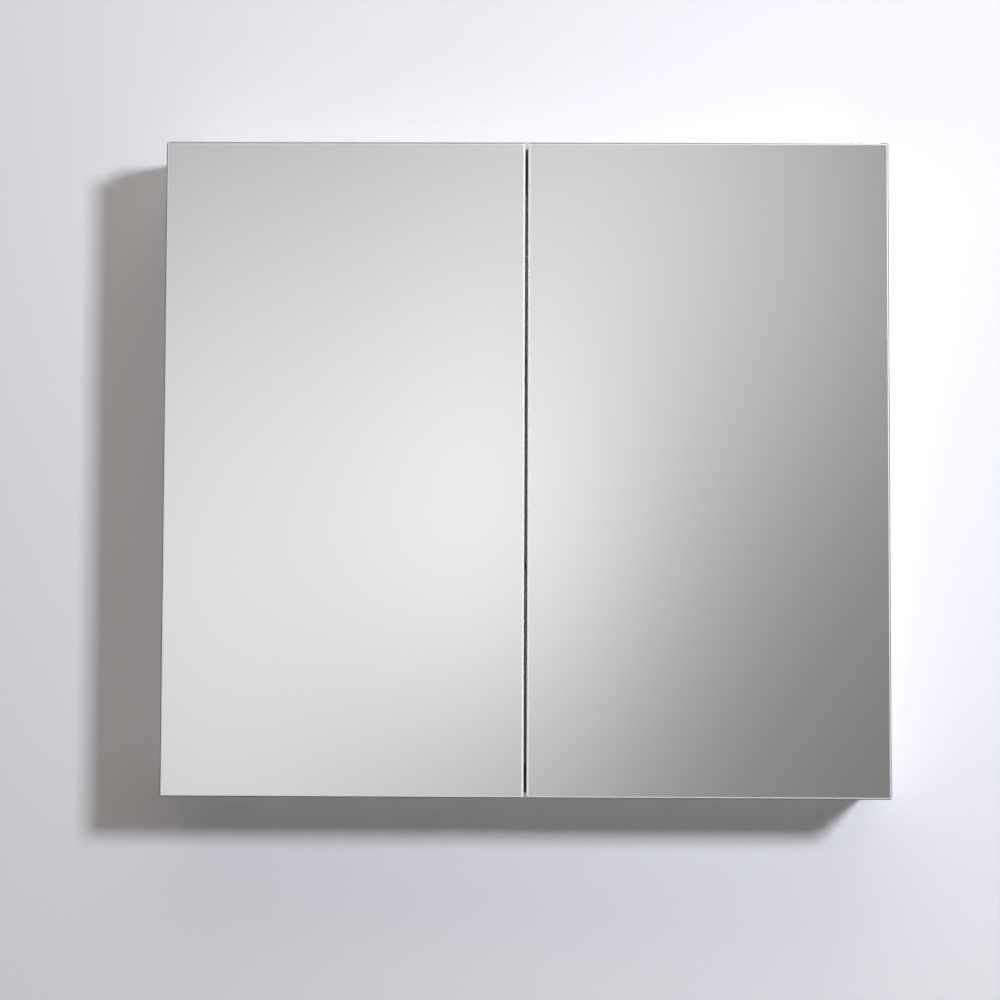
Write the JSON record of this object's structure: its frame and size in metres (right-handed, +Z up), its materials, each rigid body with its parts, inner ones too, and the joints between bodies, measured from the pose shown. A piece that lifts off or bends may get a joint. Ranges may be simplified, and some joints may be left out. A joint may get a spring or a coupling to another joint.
{
  "type": "medicine cabinet with mirror",
  "caption": "Wall-hung mirrored medicine cabinet: hinged double-sided mirror doors on concealed cup hinges, mirrored sides, glass shelves and interlocking hanging rails.",
  "frame": {"origin": "centre of the wall screw pattern, on the wall plane at the middle of the cabinet's back", "axes": "+X to the right seen from the front, +Y into the wall, +Z up; the mirror doors face -Y"},
  "size_m": [0.724, 0.127, 0.66],
  "materials": {
    "mirror_silver": "silvered float glass with a polished arris",
    "satin_aluminium": "fine satin anodised, brushed along the profile",
    "sheet_aluminium": "mill finish sheet and rails",
    "door_board": "light grey faced moisture-resistant board",
    "clear_glass": "toughened, polished edge",
    "nickel_steel": "nickel plated pressed steel",
    "zinc_casting": "nickel plated die casting",
    "bright_steel": "bright zinc plated screws and pins",
    "clear_rubber": "soft clear dots and sleeves",
    "damper_plastic": "grey moulded damper housing"
  },
  "bodies": {
    "cabinet": {"top_profile": "satin_aluminium", "bottom_profile": "satin_aluminium", "corner_keys": "zinc_casting", "corner_screws": "bright_steel", "back_sheet": "sheet_aluminium", "inner_mirror": "mirror_silver", "upper_wall_rail": "sheet_aluminium", "lower_wall_rail": "sheet_aluminium", "upper_hanging_rail": "sheet_aluminium", "lower_hanging_rail": "sheet_aluminium", "rail_rivets": "sheet_aluminium", "lower_shelf": "clear_glass", "upper_shelf": "clear_glass", "shelf_pins": "bright_steel", "pin_sleeves": "clear_rubber", "door_bumpers": "clear_rubber", "left_side_profile": "satin_aluminium", "left_side_mirror": "mirror_silver", "left_hinge_arms": "nickel_steel", "left_hinge_arm_pins": "bright_steel", "left_hinge_plates": "zinc_casting", "left_hinge_plate_screws": "bright_steel", "left_hinge_adjusting_screws": "bright_steel", "left_hinge_dampers": "damper_plastic", "right_side_profile": "satin_aluminium", "right_side_mirror": "mirror_silver", "right_hinge_arms": "nickel_steel", "right_hinge_arm_pins": "bright_steel", "right_hinge_plates": "zinc_casting", "right_hinge_plate_screws": "bright_steel", "right_hinge_adjusting_screws": "bright_steel", "right_hinge_dampers": "damper_plastic"},
    "left_long_links": {"left_hinge_long_links": "nickel_steel"},
    "left_short_links": {"left_hinge_short_links": "nickel_steel"},
    "left_door": {"left_door_mirror": "mirror_silver", "left_door_core": "door_board", "left_door_back_mirror": "mirror_silver", "left_door_hinge_edge": "satin_aluminium", "left_door_free_edge": "satin_aluminium", "left_door_top_edge": "satin_aluminium", "left_door_bottom_edge": "satin_aluminium", "left_hinge_cups": "nickel_steel", "left_hinge_cup_pins": "bright_steel", "left_hinge_cup_screws": "bright_steel"},
    "right_long_links": {"right_hinge_long_links": "nickel_steel"},
    "right_short_links": {"right_hinge_short_links": "nickel_steel"},
    "right_door": {"right_door_mirror": "mirror_silver", "right_door_core": "door_board", "right_door_back_mirror": "mirror_silver", "right_door_hinge_edge": "satin_aluminium", "right_door_free_edge": "satin_aluminium", "right_door_top_edge": "satin_aluminium", "right_door_bottom_edge": "satin_aluminium", "right_hinge_cups": "nickel_steel", "right_hinge_cup_pins": "bright_steel", "right_hinge_cup_screws": "bright_steel"}
  },
  "joints": [
    {"name": "left_long_link_pivot", "type": "hinge", "parent": "cabinet", "child": "left_long_links", "pos_m": [-0.315, -0.0995, 0], "axis": [0, 0, 1], "range_deg": [0, 24.52]},
    {"name": "left_door_swing", "type": "hinge", "parent": "left_long_links", "child": "left_door", "pos_m": [-0.3487, -0.1072, 0], "axis": [0, 0, -1], "range_deg": [0, 119.32]},
    {"name": "left_short_link_pivot", "type": "hinge", "parent": "cabinet", "child": "left_short_links", "pos_m": [-0.326, -0.113, 0], "axis": [0, 0, 1], "range_deg": [0, 28.7]},
    {"name": "right_long_link_pivot", "type": "hinge", "parent": "cabinet", "child": "right_long_links", "pos_m": [0.315, -0.0995, 0], "axis": [0, 0, -1], "range_deg": [0, 24.52]},
    {"name": "right_door_swing", "type": "hinge", "parent": "right_long_links", "child": "right_door", "pos_m": [0.3487, -0.1072, 0], "axis": [0, 0, 1], "range_deg": [0, 119.32]},
    {"name": "right_short_link_pivot", "type": "hinge", "parent": "cabinet", "child": "right_short_links", "pos_m": [0.326, -0.113, 0], "axis": [0, 0, -1], "range_deg": [0, 28.7]}
  ],
  "couplings": [
    {"joint": "left_long_link_pivot", "follows": "left_door_swing", "ratio": 0.20382},
    {"joint": "left_short_link_pivot", "follows": "left_door_swing", "ratio": 0.23885},
    {"joint": "right_long_link_pivot", "follows": "right_door_swing", "ratio": 0.20382},
    {"joint": "right_short_link_pivot", "follows": "right_door_swing", "ratio": 0.23885}
  ]
}
